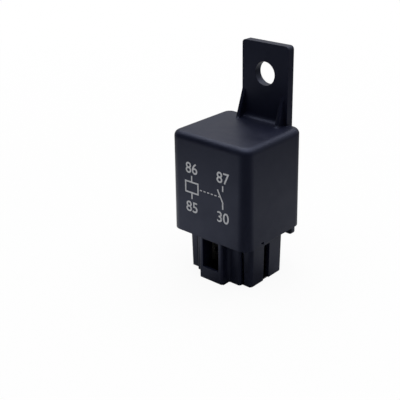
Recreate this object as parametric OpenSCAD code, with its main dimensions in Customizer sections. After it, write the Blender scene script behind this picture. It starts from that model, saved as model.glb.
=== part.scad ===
// Automotive relay with a mounting tab, four blades and a shrouded plug socket.
// Z = 0 is the rim of the socket, the blades point down, and the tab stands up at the rear (+Y).
// X and Y are centred on the cover.

/* [Cover] */
// Width of the cover at its top, side to side
cover_w = 26; // [24.6:0.2:30]
// Gap between the cover's front wall and the post of the fixed contact
front_gap = 0.15; // [0.1:0.05:3]
// Gap between the cover's rear wall and the armature's tail
rear_gap = 0.55; // [0.3:0.05:3]
// Room over the closed contact spring, for its travel and the backstop
head_room = 2.85; // [2.5:0.05:8]
// Radius of the upright corners
cover_r = 2.8; // [2.4:0.1:3.6]
// Radius round the top edge
cover_top_r = 1.6; // [0.8:0.1:2]
// Thickness of the side walls
cover_wall = 1.2; // [0.9:0.05:1.25]
// Thickness of the roof
cover_roof = 1.2; // [1:0.1:1.8]
// Draft of the walls, in degrees
draft = 0.4; // [0.2:0.1:0.8]
// Width of the skirt under the rear wall
skirt_w = 20.2; // [12:0.2:20.4]
// Height of the skirt under the rear wall
skirt_h = 4; // [2:0.1:5]
// Radius of the skirt's lower corners
skirt_r = 1; // [0.4:0.1:1.6]
// Width of the pry notch in the right wall's lower edge
notch_w = 1.6; // [0.8:0.1:3]
// Height of the pry notch
notch_h = 0.9; // [0.4:0.1:1.5]
// Distance of the pry notch in front of the cover's centre
notch_y = 5.7; // [3:0.1:7]

/* [Mounting tab] */
// Offset of the tab to the right of the cover's centre
tab_shift = 1.7; // [1:0.1:2.2]
// Width of the tab
tab_w = 15.2; // [12:0.2:16]
// Thickness of the tab
tab_t = 2.4; // [2:0.1:3]
// Height of the tab above the roof
tab_h = 21.4; // [19:0.1:30]
// Distance of the tab's back from the rear wall's face
tab_inset = 0.1; // [0.1:0.1:1]
// Radius of the tab's top corners
tab_corner_r = 1; // [0.5:0.1:3]
// Diameter of the screw hole
hole_d = 6.5; // [5.2:0.1:8]
// Distance from the tab's top to the screw hole's centre
hole_down = 8.3; // [6.5:0.1:9.2]
// Height of the gussets
gusset_h = 7.8; // [4:0.2:9]
// Depth of the gussets along the roof
gusset_d = 2.8; // [1.5:0.1:4]
// Thickness of the gussets
gusset_t = 1; // [0.8:0.1:1.5]
// Distance of the right gusset from the tab's right edge
gusset_inset = 1.1; // [0.2:0.1:2]
// Radius of the cove at the tab's foot
cove_r = 1.5; // [0.5:0.1:2]

/* [Plug socket] */
// Offset of the socket and mechanism to the right of the cover's centre
side_shift = 0.9; // [0.5:0.1:1.2]
// Height of the shroud below the cover
socket_h = 12.3; // [11:0.1:16]
// Width of the shroud at its rim
socket_w = 21.3; // [20.6:0.1:21.6]
// Depth of the shroud at its rim, without tongue and latch box
socket_d = 13.4; // [13:0.1:13.8]
// Distance of the shroud's centre in front of the cover's centre
socket_y = 1.5; // [1.3:0.1:1.7]
// Radius of the shroud's upright corners
socket_r = 0.9; // [0.8:0.1:1.6]
// Thickness of the shroud's walls at the rim
socket_wall = 1.1; // [0.9:0.1:1.2]
// Draft of the shroud's outside, in degrees
socket_draft = 1.2; // [0.6:0.1:1.5]
// Width of the front tongue between the slits
tongue_w = 15.4; // [14:0.2:15.8]
// How far the tongue stands out in front of the shroud's rim
tongue_out = 1; // [0.8:0.1:1.4]
// Radius of the tongue's outer edges
tongue_r = 0.7; // [0.4:0.1:1]
// Width of the slits beside the tongue
slit_w = 0.6; // [0.4:0.05:0.9]
// Height of the closed band above the slits
slit_top = 2.3; // [0.6:0.1:3]
// Width of the key slot in the right wall
key_w = 2.4; // [2:0.1:4]
// Distance of the key slot in front of the cover's centre
key_y = 1.7; // [1.2:0.1:2.6]
// Height of the closed band above the key slot
key_top = 1.6; // [0.8:0.1:3]

/* [Latch box] */
// Width of the latch box
latch_w = 8; // [7:0.1:8.8]
// Distance of the latch box to the left of the socket's centre
latch_shift = 0.3; // [0:0.1:1.6]
// Thickness of the latch box's side walls
latch_wall = 1.2; // [0.8:0.1:1.4]
// Thickness of the latch box's front
latch_front = 0.8; // [0.6:0.1:1.2]
// Radius of the latch box's front edges
latch_r = 0.5; // [0.3:0.1:0.5]
// Radius of the coves between the latch box and the tongue
latch_cove = 0.9; // [0.4:0.1:1]
// Height of the bar under the latch window
latch_bar = 3.5; // [2:0.1:4]
// Height of the band over the latch window
latch_band = 0.3; // [0.2:0.1:1.5]

/* [Terminal blades] */
// Width of a blade
blade_w = 6.3; // [5.6:0.1:6.3]
// Thickness of a blade
blade_t = 0.8; // [0.6:0.1:0.8]
// Distance between the blade columns, side to side
pitch_x = 8.4; // [8.2:0.1:8.8]
// Distance between the blade rows, front to rear
pitch_y = 5.6; // [5.4:0.1:5.8]
// Distance of the blade tips inside the rim
tip_recess = 1.6; // [1:0.1:4]
// Length of the bevel at the tips
tip_bevel = 1; // [0.5:0.1:1.5]
// Diameter of the detent hole in a blade
detent_d = 1.7; // [1.4:0.1:2]
// Distance of the detent hole from the tip
detent_up = 3.8; // [3:0.1:4.5]
// Clearance all round a blade in its slot
slot_gap = 0.05; // [0.03:0.01:0.1]

/* [Base plate] */
// Thickness of the plate that closes the cover
plate_t = 3; // [2.4:0.1:3.2]
// Clearance between the plate and the cover
fit_gap = 0.1; // [0.05:0.05:0.2]
// Height of the ledges that carry the yoke
ledge_h = 1.8; // [1.7:0.1:2]
// Width of the ledges
ledge_w = 1.2; // [0.8:0.1:1.4]

/* [Coil] */
// Diameter of the core
core_d = 6; // [5:0.1:6.4]
// Diameter of the pole head
pole_d = 9.6; // [8:0.1:11]
// Thickness of the pole head
pole_t = 1; // [0.8:0.1:1.2]
// Diameter of the staked tenon in the yoke
tenon_d = 4; // [3:0.1:4.6]
// Diameter of the bobbin's flanges
bobbin_d = 13; // [11.4:0.1:14.8]
// Height of the bobbin
bobbin_h = 15; // [12.5:0.1:20]
// Thickness of the bobbin's tube
bobbin_wall = 1; // [0.6:0.1:1.2]
// Thickness of the bobbin's flanges
flange_t = 1; // [0.7:0.1:1.3]
// Distance of the winding's outside from the flanges' edge
winding_inset = 0.5; // [0.4:0.1:1]
// Thickness of the tape round the winding
tape_t = 0.2; // [0.1:0.05:0.25]
// Diameter of the wire ends
wire_d = 0.4; // [0.3:0.05:0.5]
// Gap between the bobbin and the solder posts of the coil
solder_gap = 2.6; // [2.2:0.1:3]
// Gap between the bobbin and the post of the braid
braid_gap = 0.6; // [0.4:0.1:0.8]
// Assembly clearance round the core, in the winding and under contacts
ease = 0.05; // [0.03:0.01:0.06]

/* [Yoke and armature] */
// Width of the yoke
yoke_w = 12; // [11:0.2:12.4]
// Thickness of the yoke
yoke_t = 1.6; // [1.4:0.1:1.7]
// Inner radius of the yoke's bend, and bevel of the bobbin's foot that clears it
yoke_bend = 0.6; // [0.4:0.1:0.6]
// Gap between the bobbin and the yoke's leg
yoke_gap = 0.3; // [0.2:0.05:1]
// How far the yoke's foot reaches in front of the coil's axis
yoke_foot = 6; // [4:0.1:6.2]
// Width of the armature
armature_w = 11; // [10:0.2:12]
// Thickness of the armature
armature_t = 1.4; // [1.2:0.1:1.5]
// How far the armature reaches past the coil's axis
armature_reach = 5.7; // [5:0.1:6]
// Width of the armature's spring tail
tail_w = 3; // [2.4:0.1:4]
// Opening angle of the armature at rest, in degrees
tilt = 2.2; // [1.8:0.1:2.4]

/* [Contacts] */
// Thickness of the contact spring
leaf_t = 0.3; // [0.2:0.05:0.35]
// Width of the contact spring on the armature
leaf_w = 8; // [7:0.2:9]
// Width of the contact spring at its tip
leaf_tip_w = 4.6; // [4:0.1:5]
// Diameter of the contacts
contact_d = 3.2; // [2.6:0.1:3.4]
// Height of a contact's head
contact_t = 0.8; // [0.6:0.1:0.9]
// Gap between the contacts and the bobbin
contact_gap = 0.3; // [0.2:0.05:1]
// Diameter of the contacts' shanks
shank_d = 1.6; // [1.2:0.1:1.8]
// Height of the upset end of a contact's shank
upset_t = 0.35; // [0.2:0.05:0.4]
// Diameter of the rivets on the contact spring
rivet_d = 1.4; // [1:0.1:1.6]
// Width of the fixed contact's post
post_w = 5; // [4.4:0.1:5.4]
// Thickness of the backstop
stop_t = 0.6; // [0.4:0.1:0.7]
// Clear width of the backstop between its legs
stop_span = 9.6; // [8.8:0.1:9.8]
// Width of the backstop's strip
stop_w = 2.4; // [1.8:0.1:2.6]

/* [Return spring, braid and resistor] */
// Outer diameter of the return spring
spring_d = 2.1; // [1.6:0.1:2.2]
// Wire of the return spring
spring_wire = 0.35; // [0.25:0.05:0.4]
// Turns of the return spring
spring_turns = 12; // [6:1:14]
// Length of the return spring's coiled part
spring_l = 8; // [6:0.5:9]
// Diameter of the braid
braid_d = 1.3; // [1:0.1:1.4]
// Diameter of the resistor
resistor_d = 2.4; // [2:0.1:2.6]
// Length of the resistor
resistor_l = 6.5; // [5:0.1:8]
// Diameter of the resistor's wires
lead_d = 0.5; // [0.4:0.05:0.6]

/* [Hidden] */
$fn = 48;

// How far a cut runs past the face that it opens
over = 1;

// Bends in the strip of the fixed contact and in the backstop, at the middle of the sheet
strap_bend = 0.6;
stop_bend = 1;

// Ends of the contacts' shanks, and what lies between the fixed contact's axis and its post
upset_out = 0.15;
upset_r = shank_d / 2 + upset_out;
post_reach = upset_r + strap_bend;

// The return spring hangs behind the yoke, in the armature's tail
spring_gap = 0.3;
tail_end = 0.8;
tail_reach = spring_gap + spring_d / 2 + tail_end;

// The cover closes over the row of parts from the post to the tail, and over the stack from
// the plate to the contact spring
contact_out = contact_gap + contact_d / 2;
cover_d = 2 * cover_wall + front_gap + blade_t / 2 + post_reach + contact_out + bobbin_d + yoke_gap
    + yoke_t + tail_reach + rear_gap;
cover_h = plate_t + ledge_h + yoke_t + bobbin_h + pole_t + ease + armature_t + leaf_t + head_room
    + cover_roof;

// Levels, from the rim upwards
floor_z = socket_h + plate_t;
yoke_z = floor_z + ledge_h;
bobbin_z = yoke_z + yoke_t;
pole_z = bobbin_z + bobbin_h + pole_t;
armature_z = pole_z + ease;
leaf_z = armature_z + armature_t;
roof_z = socket_h + cover_h;
ceiling_z = roof_z - cover_roof;

// Places in plan
mech_x = side_shift;
post_y = -cover_d / 2 + cover_wall + front_gap + blade_t / 2;
contact_y = post_y + post_reach;
axis_y = contact_y + contact_out + bobbin_d / 2;
leg_y = axis_y + bobbin_d / 2 + yoke_gap;
pivot_y = leg_y + yoke_t;
spring_y = pivot_y + spring_gap + spring_d / 2;
tail_y = pivot_y + tail_reach;
column_x = pitch_x / 2;
front_row_y = -socket_y - pitch_y / 2;
rear_row_y = -socket_y + pitch_y / 2;
tongue_y = -socket_y - socket_d / 2 - tongue_out;

// Gap between the ledges and the blades
ledge_gap = 0.55;

// Solder posts and the post of the braid, each beside the bobbin; x counts from its blade
arm_h = 1.2;
solder_post_w = 1.8;
solder_post_x = bobbin_d / 2 + solder_gap - column_x;
solder_post_up = 2.4;
solder_post_top = bobbin_z + solder_post_up;
joint_down = 0.6;
lead_z = solder_post_top - joint_down;
braid_post_w = 2.2;
braid_post_x = bobbin_d / 2 + braid_gap - column_x;
braid_post_down = 3;
braid_post_top = bobbin_z + bobbin_h - braid_post_down;

// Strip between the blade of the fixed contact and its post
strap_w = 1.3;

// The winding, and the tape's distance from the flanges
winding_d = bobbin_d - 2 * winding_inset;
tape_margin = 0.3;
lead_half_pitch = 0.6;

// Staked end of the core
stake_t = 0.3;
stake_out = 0.4;

// Outline of the contact spring: its rear end, its neck and its tip
leaf_inset = 0.6;
neck_l = 2;
leaf_short = 0.4;

// Rivets of the contact spring, behind the pole
rivet_x = 2.6;
rivet_back = 2.6;
rivet_y = pivot_y - rivet_back;
rivet_head_t = 0.5;

// The return spring's ends, and the yoke's lug that holds the lower one
lug_t = 0.8;
lug_w = 2;
hook_hole_d = 0.9;
hook_play = 0.1;
hook_l = 1.4;
spring_end = hook_l + armature_t;
spring_middle_z = armature_z + armature_t + hook_play + spring_wire / 2 - spring_end - spring_l / 2;
lug_z = spring_middle_z - spring_l / 2 - spring_end + spring_wire / 2 + hook_play;

// Bow of the braid: how far it rises and reaches out past the contact spring, and its lap on it
braid_rise = 1.4;
braid_reach = 3;
braid_lap = 2.4;

// Place of the resistor behind the solder post, and the bends of its wires
resistor_gap = 2;
resistor_up = 2.2;
lead_bend = 1;
resistor_x = mech_x - column_x - solder_post_x - solder_post_w / 2;
resistor_y = rear_row_y + blade_t / 2 + resistor_gap + resistor_d / 2;
resistor_z = floor_z + resistor_up;

// Colours of the materials
cover_black = [0.15, 0.16, 0.20];
base_black = [0.11, 0.12, 0.15];
tinned_brass = [0.80, 0.78, 0.70];
steel = [0.62, 0.64, 0.66];
iron = [0.52, 0.54, 0.56];
nylon = [0.90, 0.88, 0.80];
copper = [0.72, 0.42, 0.24];
tape_yellow = [0.86, 0.74, 0.32];
bronze = [0.78, 0.60, 0.34];
silver_alloy = [0.86, 0.87, 0.88];
resistor_blue = [0.42, 0.60, 0.70];

// Width and depth of the cover's inside at height z
function inside_w(z) = cover_w - 2 * cover_wall + 2 * (ceiling_z - z) * tan(draft);
function inside_d(z) = cover_d - 2 * cover_wall + 2 * (ceiling_z - z) * tan(draft);

// Height above the pivot of a point of the resting armature, from its place when closed
function rest_height(reach, up) = reach * sin(tilt) + up * cos(tilt);

// ---- Shapes shared by the moulded parts ----

// Quarter of a disc in the first quadrant
module quarter_disc(r) {
    intersection() {
        circle(r);
        square(r);
    }
}

// Rectangle with round corners, centred
module rounded_rectangle(w, d, r) {
    square([w - 2 * r, d], center = true);
    square([w, d - 2 * r], center = true);
    for (sx = [0, 1], sy = [0, 1])
        mirror([sx, 0]) mirror([0, sy]) translate([w / 2 - r, d / 2 - r]) quarter_disc(r);
}

// Section of a drafted wall from its corner centre outwards: r wide at the top, wider at the
// foot, with the top edge rounded by an arc that meets the slope and the top smoothly
module wall_section(r, h, angle, top_r) {
    foot = r + h * tan(angle);
    arc_x = r + top_r * tan(angle) - top_r / cos(angle);
    slope = [cos(angle), sin(angle)];
    arc_centre = [arc_x, h - top_r];
    if (top_r > 0) {
        polygon([[0, 0], [foot, 0], arc_centre + top_r * slope, arc_centre, [arc_x, h], [0, h]]);
        translate(arc_centre) intersection() {
            circle(top_r);
            polygon([[0, 0], 2 * top_r * slope, 2 * top_r * [1, 1], [0, 2 * top_r]]);
        }
    } else
        polygon([[0, 0], [foot, 0], [r, h], [0, h]]);
}

// Both walls of a drafted box, with what lies between them
module box_section(half, r, h, angle, top_r) {
    translate([-half, 0]) square([2 * half, h]);
    for (s = [0, 1])
        mirror([s, 0]) translate([half, 0]) wall_section(r, h, angle, top_r);
}

// Box with drafted walls and round upright corners: w by d at the top, wider at the foot
module drafted_box(w, d, h, r, angle, top_r = 0) {
    half_w = w / 2 - r;
    half_d = d / 2 - r;
    rotate([90, 0, 0])
        linear_extrude(2 * half_d, center = true) box_section(half_w, r, h, angle, top_r);
    rotate([90, 0, 90])
        linear_extrude(2 * half_w, center = true) box_section(half_d, r, h, angle, top_r);
    for (turn = [0:3]) {
        side = [turn == 0 || turn == 3 ? 1 : -1, turn < 2 ? 1 : -1];
        translate([side.x * half_w, side.y * half_d, 0]) rotate(90 * turn)
            rotate_extrude(angle = 90) wall_section(r, h, angle, top_r);
    }
}

// ---- Shapes shared by the metal parts ----

function unit(v) = v / norm(v);

// Corner of a bend from a to b to c, counted from the bend's centre: a square of the given
// size less a disc of radius disc_r
module bend_corner(a, b, c, r, size, disc_r) {
    before = unit(b - a);
    after = unit(c - b);
    translate(b - r * before + r * after) difference() {
        polygon([[0, 0], before, before - after, -after] * size);
        circle(disc_r);
    }
}

// Bent sheet metal, w wide: its edge follows straight runs along the axes, with a fillet inside
// each bend and a round outside it. r is the radius of a bend at the middle of the sheet
module bent_sheet(path, t, r, w) {
    last = len(path) - 1;
    difference() {
        union() {
            for (i = [0:last - 1]) {
                along = unit(path[i + 1] - path[i]);
                across = [-along.y, along.x] * t / 2;
                start = path[i] - (i == 0 ? 0 : t / 2) * along;
                end = path[i + 1] + (i == last - 1 ? 0 : t / 2) * along;
                linear_extrude(w) polygon([start + across, end + across, end - across, start - across]);
            }
            for (i = [1:last - 1])
                linear_extrude(w) bend_corner(path[i - 1], path[i], path[i + 1], r, r, r - t / 2);
        }
        for (i = [1:last - 1])
            translate([0, 0, -over]) linear_extrude(w + 2 * over)
                bend_corner(path[i - 1], path[i], path[i + 1], r, r + t, r + t / 2);
    }
}

// Sheet bent in the side view, from x to x + w
module side_view_sheet(x, w, path, t, r) {
    translate([x, 0, 0]) rotate([90, 0, 90]) bent_sheet(path, t, r, w);
}

// Flat stamping that stands upright, centred on y
module upright_stamping(y, t) {
    translate([0, y + t / 2, 0]) rotate([90, 0, 0]) linear_extrude(t) children();
}

// Round wire through a list of points, with ball joints at its bends
module wire(points, d) {
    for (i = [0:len(points) - 2]) {
        run = points[i + 1] - points[i];
        translate(points[i])
            rotate([0, acos(run.z / norm(run)), atan2(run.y, run.x)])
                cylinder(h = norm(run), d = d);
        if (i > 0)
            translate(points[i]) sphere(d = d);
    }
}

// Bent wire or braid with flat ends: a tube of n sides along a list of points. Each ring lies
// square to the way at its point, and its first side is carried on from the ring before
module tube(points, d, n, first_side) {
    last = len(points) - 1;
    ways = [for (i = [0:last]) unit(points[min(i + 1, last)] - points[max(i - 1, 0)])];
    sides = [for (i = 0, a = first_side; i <= last; i = i + 1,
                  a = i <= last ? unit(a - (a * ways[i]) * ways[i]) : a) a];
    polyhedron(
        points = [for (i = [0:last]) let (b = cross(ways[i], sides[i]))
            for (k = [0:n - 1]) points[i] + d / 2 * (cos(360 * k / n) * sides[i] + sin(360 * k / n) * b)],
        faces = [
            [for (k = [0:n - 1]) k],
            for (i = [0:last - 1], k = [0:n - 1]) each
                let (a = i * n + k, b = i * n + (k + 1) % n) [[a, a + n, b + n], [a, b + n, b]],
            [for (k = [n - 1:-1:0]) last * n + k]
        ]);
}

// ---- Cover ----

// Tab plate with its screw hole, seen from the front; y = 0 is the roof
module tab_outline() {
    difference() {
        union() {
            translate([-tab_w / 2, -cover_top_r]) square([tab_w, cover_top_r + tab_h - tab_corner_r]);
            translate([-tab_w / 2 + tab_corner_r, 0]) square([tab_w - 2 * tab_corner_r, tab_h]);
            for (s = [0, 1])
                mirror([s, 0]) translate([tab_w / 2 - tab_corner_r, tab_h - tab_corner_r])
                    quarter_disc(tab_corner_r);
        }
        translate([0, tab_h - hole_down]) circle(d = hole_d);
    }
}

// Gusset between the roof and the front of the tab, from x to the right
module gusset(x, front_y) {
    translate([x, front_y, roof_z]) rotate([90, 0, 90]) linear_extrude(gusset_t)
        polygon([[-gusset_d, -cover_roof / 2], [tab_t / 2, -cover_roof / 2],
                 [tab_t / 2, gusset_h], [0, gusset_h], [-gusset_d, 0]]);
}

module mounting_tab() {
    back_y = cover_d / 2 - tab_inset;
    front_y = back_y - tab_t;
    left_x = tab_shift - tab_w / 2;
    right_gusset_x = tab_shift + tab_w / 2 - gusset_inset - gusset_t;
    translate([tab_shift, back_y, roof_z]) rotate([90, 0, 0]) linear_extrude(tab_t) tab_outline();
    gusset(left_x, front_y);
    gusset(right_gusset_x, front_y);
    translate([left_x + gusset_t, front_y, roof_z]) rotate([90, 0, 90])
        linear_extrude(right_gusset_x - left_x - gusset_t)
            difference() {
                translate([-cove_r, 0]) square(cove_r);
                translate([-cove_r, cove_r]) circle(cove_r);
            }
}

// What is cut from under the cover so that only the rear skirt is left
module skirt_trim() {
    difference() {
        translate([-cover_w, -cover_d, socket_h - skirt_h - over])
            cube([2 * cover_w, 2 * cover_d, skirt_h + over]);
        translate([mech_x, cover_d + cover_d / 4, 0]) rotate([90, 0, 0]) linear_extrude(cover_d) {
            translate([-skirt_w / 2, socket_h - skirt_h + skirt_r])
                square([skirt_w, skirt_h - skirt_r + over]);
            translate([-skirt_w / 2 + skirt_r, socket_h - skirt_h]) square([skirt_w - 2 * skirt_r, skirt_h]);
            for (s = [0, 1])
                mirror([s, 0]) translate([skirt_w / 2 - skirt_r, socket_h - skirt_h + skirt_r])
                    mirror([0, 1]) quarter_disc(skirt_r);
        }
    }
}

module cover() {
    color(cover_black) difference() {
        union() {
            translate([0, 0, socket_h - skirt_h])
                drafted_box(cover_w, cover_d, cover_h + skirt_h, cover_r, draft, cover_top_r);
            mounting_tab();
        }
        translate([0, 0, socket_h - skirt_h - over])
            drafted_box(cover_w - 2 * cover_wall, cover_d - 2 * cover_wall,
                        cover_h - cover_roof + skirt_h + over, cover_r - cover_wall, draft);
        skirt_trim();
        translate([cover_w / 2 - 2 * cover_wall, -notch_y - notch_w / 2, socket_h - over])
            cube([4 * cover_wall, notch_w, notch_h + over]);
    }
}

// ---- Base ----

// Slot in the plate for one blade
module blade_slot(x, y) {
    translate([x - blade_w / 2 - slot_gap, y - blade_t / 2 - slot_gap, socket_h - over])
        cube([blade_w + 2 * slot_gap, blade_t + 2 * slot_gap, plate_t + 2 * over]);
}

// Cove between the latch box's right side and the tongue's front, with a root in both
module latch_cove_outline() {
    root = latch_wall / 2;
    difference() {
        translate([-root, -latch_cove]) square([latch_cove + root, latch_cove + root]);
        translate([latch_cove, -latch_cove]) circle(latch_cove);
    }
}

// Shroud, tongue and latch box, before anything is cut out
module shroud_outside() {
    translate([mech_x, -socket_y, socket_h]) mirror([0, 0, 1])
        drafted_box(socket_w, socket_d, socket_h, socket_r, socket_draft);
    tongue_d = tongue_out + socket_wall;
    linear_extrude(socket_h) {
        translate([mech_x, tongue_y + tongue_d / 2]) rounded_rectangle(tongue_w, tongue_d, tongue_r);
        latch_d = tongue_y + cover_d / 2 + socket_wall;
        translate([mech_x - latch_shift, -cover_d / 2 + latch_d / 2])
            rounded_rectangle(latch_w, latch_d, latch_r);
    }
    for (side = [0, 1])
        translate([mech_x - latch_shift, tongue_y, 0]) mirror([side, 0, 0])
            translate([latch_w / 2, 0, 0]) linear_extrude(socket_h) latch_cove_outline();
}

// Room for the plug: inside the shroud, behind the tongue and in the latch box
module shroud_inside() {
    inner_w = socket_w - 2 * socket_wall;
    inner_d = socket_d - 2 * socket_wall;
    inner_r = socket_r - socket_wall / 2;
    room_w = latch_w - 2 * latch_wall;
    translate([0, 0, -over]) linear_extrude(socket_h + over) {
        translate([mech_x, -socket_y]) rounded_rectangle(inner_w, inner_d, inner_r);
        translate([mech_x - tongue_w / 2, tongue_y + socket_wall]) square([tongue_w, tongue_out + over]);
        translate([mech_x - latch_shift - room_w / 2, -cover_d / 2 + latch_front])
            square([room_w, cover_d / 2 - latch_front - socket_y]);
    }
}

// Slits, key slot and latch window
module shroud_cuts() {
    slit_d = tongue_out + socket_wall + over;
    for (side = [-1, 1])
        translate([mech_x + side * (tongue_w + slit_w) / 2 - slit_w / 2, tongue_y - over, -over])
            cube([slit_w, slit_d + over, socket_h - slit_top + over]);
    translate([mech_x + socket_w / 2 - 2 * socket_wall, -key_y - key_w / 2, -over])
        cube([4 * socket_wall, key_w, socket_h - key_top + over]);
    window_w = latch_w - 2 * latch_wall;
    translate([mech_x - latch_shift - window_w / 2, -cover_d / 2 - over, latch_bar])
        cube([window_w, latch_front + 2 * over, socket_h - latch_band - latch_bar]);
}

module base() {
    plate_w = inside_w(floor_z) - 2 * fit_gap;
    plate_d = inside_d(floor_z) - 2 * fit_gap;
    ledge_x = yoke_w / 2 - ledge_w;
    ledge_l = pitch_y - blade_t - 2 * ledge_gap;
    color(base_black) {
        difference() {
            union() {
                translate([0, 0, socket_h])
                    drafted_box(plate_w, plate_d, plate_t, cover_r - cover_wall, draft);
                shroud_outside();
            }
            shroud_inside();
            shroud_cuts();
            for (side = [-1, 1], y = [front_row_y, rear_row_y])
                blade_slot(mech_x + side * column_x, y);
        }
        for (side = [0, 1], y = [-socket_y - ledge_l / 2, rear_row_y + blade_t / 2 + ledge_gap])
            translate([mech_x, 0, 0]) mirror([side, 0, 0]) translate([ledge_x, y, floor_z])
                cube([ledge_w, ledge_l, ledge_h]);
    }
}

// ---- Terminals ----

// Outline of a blade from its bevelled tip to the floor, with the detent hole
module blade_outline() {
    half_w = blade_w / 2;
    bevel_z = tip_recess + tip_bevel;
    difference() {
        polygon([[-half_w, floor_z], [-half_w, bevel_z], [-half_w + tip_bevel, tip_recess],
                 [half_w - tip_bevel, tip_recess], [half_w, bevel_z], [half_w, floor_z]]);
        translate([0, tip_recess + detent_up]) circle(d = detent_d);
    }
}

// Flat terminal: blade, arm on the floor that runs outwards, and post
module flat_terminal(side, y, post_x, post_w, post_top) {
    color(tinned_brass) translate([mech_x + side * column_x, 0, 0]) mirror([side < 0 ? 1 : 0, 0, 0])
        upright_stamping(y, blade_t) {
            blade_outline();
            translate([0, floor_z]) square([post_x, arm_h]);
            translate([post_x - ease, floor_z]) square([post_w + ease, post_top - floor_z]);
        }
}

module terminal_30() {
    flat_terminal(1, rear_row_y, braid_post_x, braid_post_w, braid_post_top);
}

module terminal_85() {
    flat_terminal(-1, rear_row_y, solder_post_x, solder_post_w, solder_post_top);
}

module terminal_86() {
    flat_terminal(-1, front_row_y, solder_post_x, solder_post_w, solder_post_top);
}

// Height of the seat's top face under the fixed contact
seat_z = leaf_z - contact_t - ease - contact_t;

module terminal_87() {
    blade_x = mech_x + column_x;
    strap_z = floor_z + strap_bend;
    root_z = floor_z - plate_t / 2;
    path = [[front_row_y, root_z], [front_row_y, strap_z], [post_y, strap_z],
            [post_y, seat_z - blade_t / 2], [contact_y + contact_d / 2, seat_z - blade_t / 2]];
    strap_rear_y = front_row_y - strap_bend;
    strap_front_y = strap_rear_y - strap_w;
    post_x = mech_x - post_w / 2;
    color(tinned_brass) difference() {
        union() {
            translate([blade_x, 0, 0]) upright_stamping(front_row_y, blade_t) blade_outline();
            intersection() {
                side_view_sheet(post_x, blade_x + blade_w / 2 - post_x, path, blade_t, strap_bend);
                translate([0, 0, root_z]) linear_extrude(seat_z - root_z) {
                    translate([post_x, post_y - blade_t])
                        square([post_w, strap_rear_y - post_y + blade_t]);
                    translate([post_x, strap_front_y])
                        square([blade_x + blade_w / 2 - post_x, strap_w]);
                    translate([blade_x - blade_w / 2, strap_front_y])
                        square([blade_w, front_row_y + blade_t - strap_front_y]);
                }
            }
        }
        translate([mech_x, contact_y, seat_z - blade_t - over])
            cylinder(h = blade_t + 2 * over, d = shank_d + 2 * ease);
    }
}

// ---- Coil ----

module bobbin() {
    bore_r = core_d / 2 + ease;
    tube_r = bore_r + bobbin_wall;
    flange_r = bobbin_d / 2;
    color(nylon) translate([mech_x, axis_y, bobbin_z]) rotate_extrude()
        polygon([[bore_r, 0], [flange_r - yoke_bend, 0], [flange_r, yoke_bend], [flange_r, flange_t],
                 [tube_r, flange_t], [tube_r, bobbin_h - flange_t], [flange_r, bobbin_h - flange_t],
                 [flange_r, bobbin_h], [bore_r, bobbin_h]]);
}

// Tube round the coil's axis, between the flanges less a margin at each end
module coil_layer(inner_r, outer_r, margin) {
    translate([mech_x, axis_y, bobbin_z + flange_t + margin]) rotate_extrude()
        translate([inner_r, 0]) square([outer_r - inner_r, bobbin_h - 2 * flange_t - 2 * margin]);
}

module winding() {
    color(copper) coil_layer(core_d / 2 + bobbin_wall + 2 * ease, winding_d / 2, ease);
}

module coil_tape() {
    color(tape_yellow)
        coil_layer(winding_d / 2 + ease / 2, winding_d / 2 + ease / 2 + tape_t, tape_margin);
}

module coil_leads() {
    post_side_x = mech_x - column_x - solder_post_x + ease;
    start_x = mech_x - winding_d / 2 - tape_t - wire_d / 2 - ease;
    color(copper) for (side = [-1, 1])
        wire([[start_x, axis_y + side * lead_half_pitch, lead_z],
              [post_side_x + wire_d / 2, -socket_y + side * pitch_y / 2, lead_z]], wire_d);
}

// Turned core: staked end under the yoke, tenon, shaft and pole head
module core() {
    stake_r = tenon_d / 2 + stake_out;
    color(iron) translate([mech_x, axis_y, 0]) rotate_extrude()
        polygon([[0, yoke_z - stake_t], [stake_r, yoke_z - stake_t], [stake_r, yoke_z],
                 [tenon_d / 2, yoke_z], [tenon_d / 2, bobbin_z], [core_d / 2, bobbin_z],
                 [core_d / 2, pole_z - pole_t], [pole_d / 2, pole_z - pole_t], [pole_d / 2, pole_z],
                 [0, pole_z]]);
}

// Folded sheet yoke, with a lug behind its leg for the return spring
module yoke() {
    front_y = axis_y - yoke_foot;
    middle_z = yoke_z + yoke_t / 2;
    leg_middle_y = leg_y + yoke_t / 2;
    color(steel) difference() {
        union() {
            side_view_sheet(mech_x - yoke_w / 2, yoke_w,
                            [[front_y, middle_z], [leg_middle_y, middle_z], [leg_middle_y, pole_z]],
                            yoke_t, yoke_bend + yoke_t / 2);
            translate([mech_x - lug_w / 2, leg_middle_y, lug_z])
                cube([lug_w, tail_y - leg_middle_y, lug_t]);
        }
        translate([mech_x, axis_y, yoke_z - over]) cylinder(h = yoke_t + 2 * over, d = tenon_d + 2 * ease);
        translate([mech_x, spring_y, lug_z - over]) cylinder(h = lug_t + 2 * over, d = hook_hole_d);
    }
}

// ---- Armature and contacts ----

// Turns the armature's parts from the closed place to the rest place
module at_rest() {
    translate([0, pivot_y, armature_z]) rotate([-tilt, 0, 0]) translate([0, -pivot_y, -armature_z])
        children();
}

module rivet_holes(d) {
    for (side = [-1, 1])
        translate([mech_x + side * rivet_x, rivet_y]) circle(d = d);
}

module armature() {
    free_y = axis_y - armature_reach;
    color(iron) at_rest() translate([0, 0, armature_z]) linear_extrude(armature_t) difference() {
        union() {
            translate([mech_x - armature_w / 2, free_y]) square([armature_w, pivot_y - free_y]);
            translate([mech_x - tail_w / 2, pivot_y - over]) square([tail_w, tail_y - pivot_y + over]);
        }
        rivet_holes(rivet_d + 2 * ease);
        translate([mech_x, spring_y]) circle(d = hook_hole_d);
    }
}

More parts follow.
